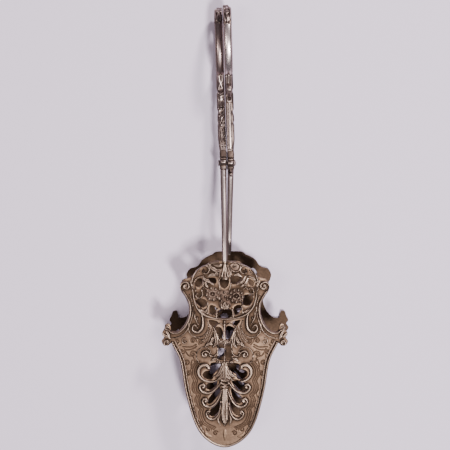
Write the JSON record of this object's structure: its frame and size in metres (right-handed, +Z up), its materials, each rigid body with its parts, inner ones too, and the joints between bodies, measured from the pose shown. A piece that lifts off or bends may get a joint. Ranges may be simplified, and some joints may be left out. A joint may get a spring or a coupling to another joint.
{
  "type": "scissor serving tongs",
  "caption": "Scissor-action serving tongs: two pierced, ornamented leaf-shaped blades on crossed arms with oval finger rings and a side pivot.",
  "frame": {"origin": "on the surface that the tongs lie on, under the middle of the overall box", "axes": "+Y towards the finger rings, +Z up, +X to the right seen from above with the rings away from the viewer"},
  "size_m": [0.0726, 0.245, 0.033],
  "materials": {
    "silver_bright": "rubbed silver plate, soft gloss",
    "silver_cast": "cast silver plate with dark recesses",
    "silver_tarnished": "tarnished silver plate, warm brown in the recesses"
  },
  "bodies": {
    "lower_arm": {"lower_blade_plate": "silver_tarnished", "lower_crest_scroll_left": "silver_tarnished", "lower_crest_scroll_right": "silver_tarnished", "lower_drop_finial": "silver_cast", "lower_finger_ring": "silver_bright", "lower_flower_medallion": "silver_tarnished", "lower_joint_block": "silver_cast", "lower_palmette": "silver_tarnished", "lower_pedestal": "silver_tarnished", "lower_rim_moulding": "silver_tarnished", "lower_ring_crest": "silver_cast", "lower_shank": "silver_bright", "lower_shank_foot": "silver_tarnished", "lower_side_scroll_left": "silver_tarnished", "lower_side_scroll_right": "silver_tarnished", "lower_stem": "silver_cast", "lower_stem_scroll": "silver_cast", "pivot_nut": "silver_bright", "pivot_screw": "silver_bright"},
    "upper_arm": {"upper_blade_plate": "silver_tarnished", "upper_crest_scroll_left": "silver_tarnished", "upper_crest_scroll_right": "silver_tarnished", "upper_drop_finial": "silver_cast", "upper_finger_ring": "silver_bright", "upper_flower_medallion": "silver_tarnished", "upper_joint_block": "silver_cast", "upper_palmette": "silver_tarnished", "upper_pedestal": "silver_tarnished", "upper_rim_moulding": "silver_tarnished", "upper_ring_crest": "silver_cast", "upper_shank": "silver_bright", "upper_shank_foot": "silver_tarnished", "upper_side_scroll_left": "silver_tarnished", "upper_side_scroll_right": "silver_tarnished", "upper_stem": "silver_cast", "upper_stem_scroll": "silver_cast"}
  },
  "joints": [
    {"name": "jaw_pivot", "type": "hinge", "parent": "lower_arm", "child": "upper_arm", "pos_m": [0, 0.0374, 0.0165], "axis": [1, 0, 0], "range_deg": [-25, 10]}
  ]
}
